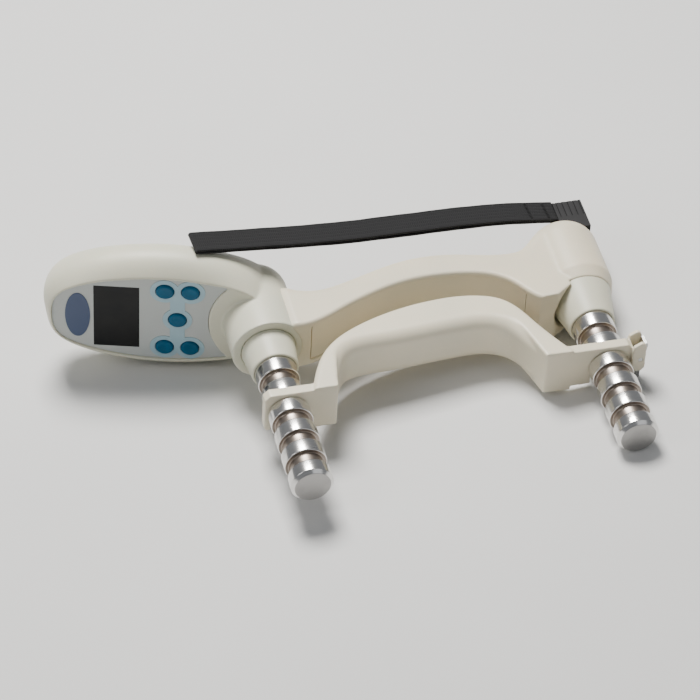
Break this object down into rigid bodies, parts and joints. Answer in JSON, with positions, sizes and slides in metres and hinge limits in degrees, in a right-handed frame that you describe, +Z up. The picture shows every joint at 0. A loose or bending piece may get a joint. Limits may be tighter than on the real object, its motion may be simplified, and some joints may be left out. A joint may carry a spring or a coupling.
{
  "type": "hand dynamometer",
  "caption": "Digital grip-strength dynamometer with a display head, fixed handle, adjustable handle on grooved posts, and wrist strap.",
  "frame": {"origin": "centre of the bounding box at its base: the plane the instrument lies on", "axes": "+X from the display head to the lower boss, +Y from the post tips to the strap's side, +Z up"},
  "size_m": [0.2554, 0.1496, 0.0658],
  "materials": {
    "shell_green": "satin moulded plastic",
    "shell_cream": "satin moulded plastic",
    "handle_cream": "satin moulded plastic",
    "fascia_pale": "fine matte label",
    "post_steel": "turned and polished",
    "window_black": "gloss",
    "button_blue": "satin",
    "halo_blue": "printed film",
    "badge_blue": "printed film",
    "clip_steel": "brushed",
    "strap_black": "woven",
    "anchor_black": "fine grain",
    "board_green": "solder mask",
    "beam_metal": "machined",
    "screw_steel": "zinc plated",
    "cell_skin": "printed sleeve",
    "seal_rubber": "matte"
  },
  "bodies": {
    "frame": {"head_housing": "shell_green", "head_fascia": "fascia_pale", "lcd_window": "window_black", "lcd_module": "board_green", "main_board": "board_green", "board_screws": "screw_steel", "keypad_mat": "seal_rubber", "keypad_halo": "halo_blue", "badge_inlay": "badge_blue", "battery_cells": "cell_skin", "battery_contacts": "screw_steel", "buzzer": "anchor_black", "fixed_handle": "shell_cream", "handle_front_cover": "shell_cream", "load_beam": "beam_metal", "strain_gauges": "board_green", "gauge_wires": "seal_rubber", "upper_post": "post_steel", "lower_post": "post_steel", "upper_collar": "shell_green", "lower_collar": "shell_green", "post_nuts": "screw_steel", "collar_seals": "seal_rubber", "strap_anchor": "anchor_black", "anchor_screw": "screw_steel", "wrist_strap": "strap_black"},
    "handle": {"adjustable_handle": "handle_cream", "clip_pin": "screw_steel"},
    "clip": {"handle_clip": "clip_steel"},
    "hatch": {"battery_cover": "shell_green"},
    "button_upper_left_body": {"button_upper_left": "button_blue"},
    "button_lower_left_body": {"button_lower_left": "button_blue"},
    "button_centre_body": {"button_centre": "button_blue"},
    "button_upper_right_body": {"button_upper_right": "button_blue"},
    "button_lower_right_body": {"button_lower_right": "button_blue"}
  },
  "joints": [
    {"name": "handle_lift", "type": "slide", "parent": "frame", "child": "handle", "axis": [0.0748, -0.0742, 0.9944], "range_m": [0, 0.04]},
    {"name": "clip_hinge", "type": "hinge", "parent": "handle", "child": "clip", "pos_m": [0.12348, -0.02513, 0.01491], "axis": [0, -0.9972, -0.0744], "range_deg": [0, 30], "stiffness_Nm_per_rad": 0.02},
    {"name": "battery_cover_lift", "type": "slide", "parent": "frame", "child": "hatch", "axis": [0.2732, 0.9606, 0.0512], "range_m": [0, 0.025]},
    {"name": "button_upper_left_press", "type": "slide", "parent": "frame", "child": "button_upper_left_body", "axis": [0.2732, 0.9606, 0.0512], "range_m": [0, 0.0008], "stiffness_N_per_m": 800},
    {"name": "button_lower_left_press", "type": "slide", "parent": "frame", "child": "button_lower_left_body", "axis": [0.2732, 0.9606, 0.0512], "range_m": [0, 0.0008], "stiffness_N_per_m": 800},
    {"name": "button_centre_press", "type": "slide", "parent": "frame", "child": "button_centre_body", "axis": [0.2732, 0.9606, 0.0512], "range_m": [0, 0.0008], "stiffness_N_per_m": 800},
    {"name": "button_upper_right_press", "type": "slide", "parent": "frame", "child": "button_upper_right_body", "axis": [0.2732, 0.9606, 0.0512], "range_m": [0, 0.0008], "stiffness_N_per_m": 800},
    {"name": "button_lower_right_press", "type": "slide", "parent": "frame", "child": "button_lower_right_body", "axis": [0.2732, 0.9606, 0.0512], "range_m": [0, 0.0008], "stiffness_N_per_m": 800}
  ]
}
